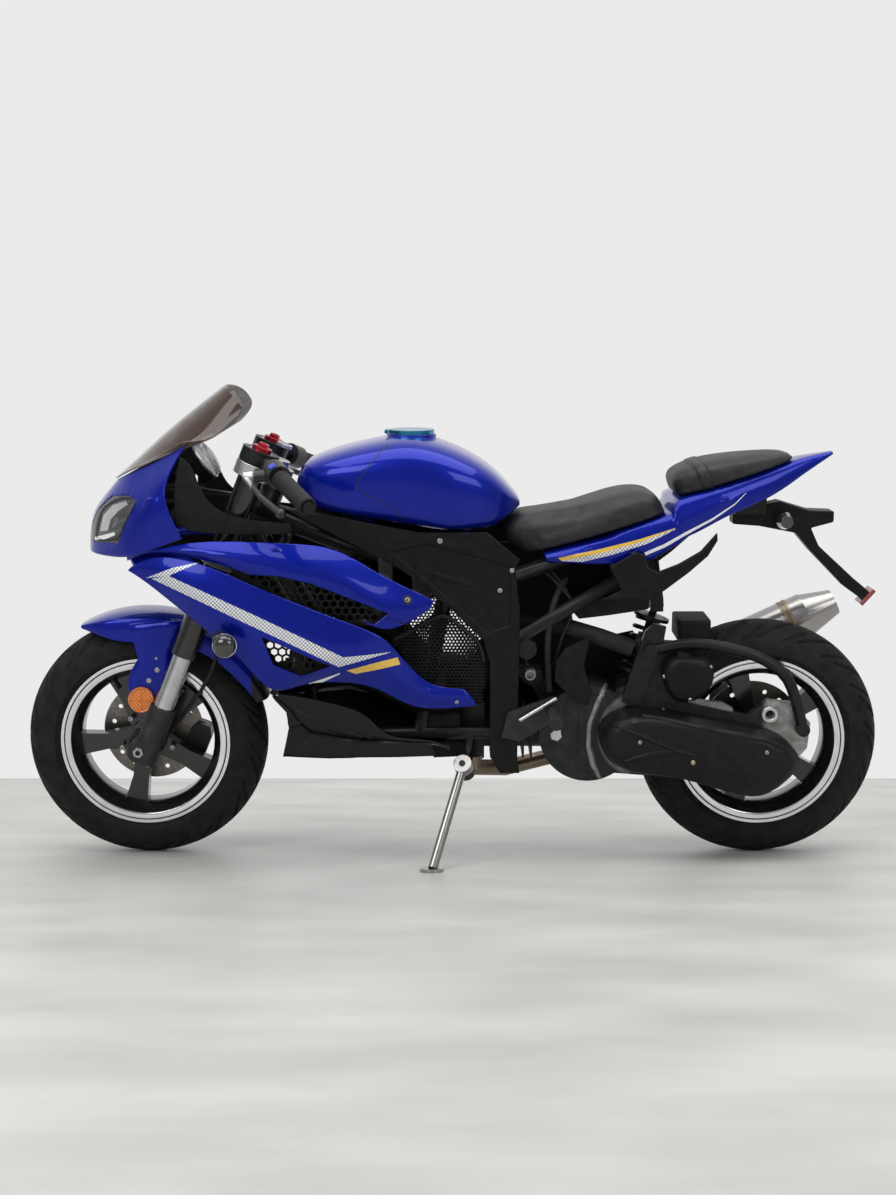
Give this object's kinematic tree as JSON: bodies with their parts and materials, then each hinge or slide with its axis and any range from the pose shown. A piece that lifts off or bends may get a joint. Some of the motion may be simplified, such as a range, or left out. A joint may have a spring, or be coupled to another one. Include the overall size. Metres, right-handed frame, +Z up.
{
  "type": "motorcycle",
  "caption": "Small full-fairing sport motorcycle parked leaning on its side stand, with turning wheels, steering, a folding stand and a hinged filler cap.",
  "frame": {"origin": "middle of the footprint of the leaning bike, on the floor", "axes": "+X to the rear of the bike, +Y to its right, +Z up from the floor"},
  "size_m": [1.6839, 0.6156, 0.9235],
  "materials": {
    "frame_black": "satin black paint",
    "panel_black": "grained black plastic",
    "panel_grey": "dark satin plastic",
    "paint_blue": "deep blue pearl paint under clear coat",
    "cap_teal": "teal anodised",
    "lamp_clear": "clear lens",
    "screen_tint": "brown tinted",
    "mesh_black": "black mesh",
    "seat_black": "black grained vinyl",
    "lamp_red": "red lens",
    "lens_amber": "amber lens",
    "cast_alloy": "cast",
    "case_black": "satin black",
    "pipe_steel": "heat stained",
    "muffler_steel": "brushed",
    "shock_steel": "black paint",
    "slider_chrome": "polished",
    "rubber_black": "black rubber",
    "rim_black": "gloss black with a machined ring",
    "tyre": "black road rubber",
    "disc_steel": "ground",
    "stand_chrome": "polished"
  },
  "bodies": {
    "chassis": {"main_frame": "frame_black", "frame_covers": "panel_black", "fuel_tank": "paint_blue", "nose_fairing": "paint_blue", "headlamps": "lamp_clear", "windscreen": "screen_tint", "cockpit_panels": "panel_black", "instrument": "panel_black", "side_fairings": "paint_blue", "fairing_wings": "paint_blue", "vent_grilles": "mesh_black", "belly_pan": "panel_grey", "perforated_guards": "mesh_black", "rider_seat": "seat_black", "pillion_seat": "seat_black", "tail_cowl": "paint_blue", "tail_lamp": "lamp_red", "plate_hanger": "panel_black", "indicators": "lens_amber", "tail_fins": "panel_black", "engine_block": "cast_alloy", "drive_case": "case_black", "air_filter_case": "panel_black", "exhaust_pipe": "pipe_steel", "muffler": "muffler_steel", "rear_shock": "shock_steel", "rear_hoop": "frame_black", "foot_pegs": "rubber_black", "rear_axle": "pipe_steel", "inner_covers": "panel_black", "intake": "rubber_black"},
    "steering": {"triple_clamps": "cast_alloy", "fork_tubes": "frame_black", "fork_sliders": "slider_chrome", "fork_feet": "case_black", "front_fender": "paint_blue", "front_caliper": "case_black", "handlebars": "frame_black", "grips": "rubber_black", "controls": "panel_black", "fork_reflectors": "lens_amber", "speedo_cable": "rubber_black"},
    "front_wheel": {"front_rim": "rim_black", "front_tyre": "tyre", "front_disc": "disc_steel"},
    "rear_wheel": {"rear_rim": "rim_black", "rear_tyre": "tyre", "rear_disc": "disc_steel"},
    "stand": {"side_stand": "stand_chrome"},
    "tank_lid": {"filler_cap": "cap_teal"}
  },
  "joints": [
    {"name": "steering_turn", "type": "hinge", "parent": "chassis", "child": "steering", "pos_m": [-0.37876, 0.01658, 0.67419], "axis": [0.3746, -0.1706, 0.9114], "range_deg": [-28, 28]},
    {"name": "front_wheel_spin", "type": "hinge", "parent": "steering", "child": "front_wheel", "pos_m": [-0.605, 0.09897, 0.23398], "axis": [0, 0.9829, 0.184], "continuous": true},
    {"name": "rear_wheel_spin", "type": "hinge", "parent": "chassis", "child": "rear_wheel", "pos_m": [0.605, 0.09897, 0.23398], "axis": [0, 0.9829, 0.184], "continuous": true},
    {"name": "stand_fold", "type": "hinge", "parent": "chassis", "child": "stand", "pos_m": [0.02, -0.03048, 0.18635], "axis": [-0.2106, -0.829, 0.518], "range_deg": [0, 110.5]},
    {"name": "tank_lid_hinge", "type": "hinge", "parent": "chassis", "child": "tank_lid", "pos_m": [-0.12755, -0.01261, 0.83018], "axis": [0, -0.9829, -0.184], "range_deg": [0, 95]}
  ]
}
